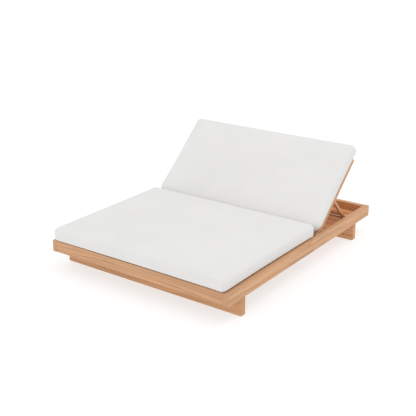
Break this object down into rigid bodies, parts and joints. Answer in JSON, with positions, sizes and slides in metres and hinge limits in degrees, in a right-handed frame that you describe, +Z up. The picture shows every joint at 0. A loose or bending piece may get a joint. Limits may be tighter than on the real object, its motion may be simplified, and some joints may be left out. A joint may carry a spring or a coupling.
{
  "type": "double chaise lounger",
  "caption": "Low slatted timber double chaise lounger on two leg boards, with a seat cushion and a full-width cushioned backrest that tilts and is propped in notches.",
  "frame": {"origin": "on the ground, under the middle of the frame", "axes": "+X across, to the right as seen from the foot end; +Y from the foot end to the head end; +Z up"},
  "size_m": [1.5, 1.95, 0.7453],
  "materials": {
    "timber": "matte",
    "cushion_fabric": "matte",
    "steel": "satin",
    "glide_plastic": "matte"
  },
  "bodies": {
    "frame": {"deck_slat_1": "timber", "deck_slat_2": "timber", "deck_slat_3": "timber", "deck_slat_4": "timber", "deck_slat_5": "timber", "deck_slat_6": "timber", "deck_slat_7": "timber", "deck_slat_8": "timber", "deck_spine": "timber", "foot_rail": "timber", "front_leg_board": "timber", "head_rail": "timber", "hinge_clips": "steel", "left_hinge_pin": "steel", "left_rack_ledger": "timber", "left_seat_cleat": "timber", "left_side_rail": "timber", "leg_glides": "glide_plastic", "middle_rail": "timber", "rear_leg_board": "timber", "right_hinge_pin": "steel", "right_rack_ledger": "timber", "right_seat_cleat": "timber", "right_side_rail": "timber", "seat_cushion": "cushion_fabric", "seat_slat_1": "timber", "seat_slat_10": "timber", "seat_slat_11": "timber", "seat_slat_2": "timber", "seat_slat_3": "timber", "seat_slat_4": "timber", "seat_slat_5": "timber", "seat_slat_6": "timber", "seat_slat_7": "timber", "seat_slat_8": "timber", "seat_slat_9": "timber", "seat_spine": "timber"},
    "backrest": {"back_bottom_rail": "timber", "back_centre_stile": "timber", "back_cushion": "cushion_fabric", "back_slat_1": "timber", "back_slat_2": "timber", "back_slat_3": "timber", "back_slat_4": "timber", "back_slat_5": "timber", "back_slat_6": "timber", "back_slat_7": "timber", "back_top_rail": "timber", "left_back_stile": "timber", "left_hinge_strap": "steel", "pivot_bolts": "steel", "pivot_nuts": "steel", "pivot_washers": "steel", "right_back_stile": "timber", "right_hinge_strap": "steel", "strap_screws": "steel"},
    "prop": {"left_prop_arm": "timber", "prop_crossbar": "timber", "prop_rod": "steel", "right_prop_arm": "timber"}
  },
  "joints": [
    {"name": "backrest_tilt", "type": "hinge", "parent": "frame", "child": "backrest", "pos_m": [0, 0.25, 0.1684], "axis": [1, 0, 0], "range_deg": [-41.2, 16.8]},
    {"name": "prop_swing", "type": "hinge", "parent": "backrest", "child": "prop", "pos_m": [0, 0.48715, 0.40791], "axis": [1, 0, 0], "range_deg": [-33.6, 82.4]}
  ],
  "couplings": [
    {"joint": "prop_swing", "follows": "backrest_tilt", "ratio": -2}
  ]
}
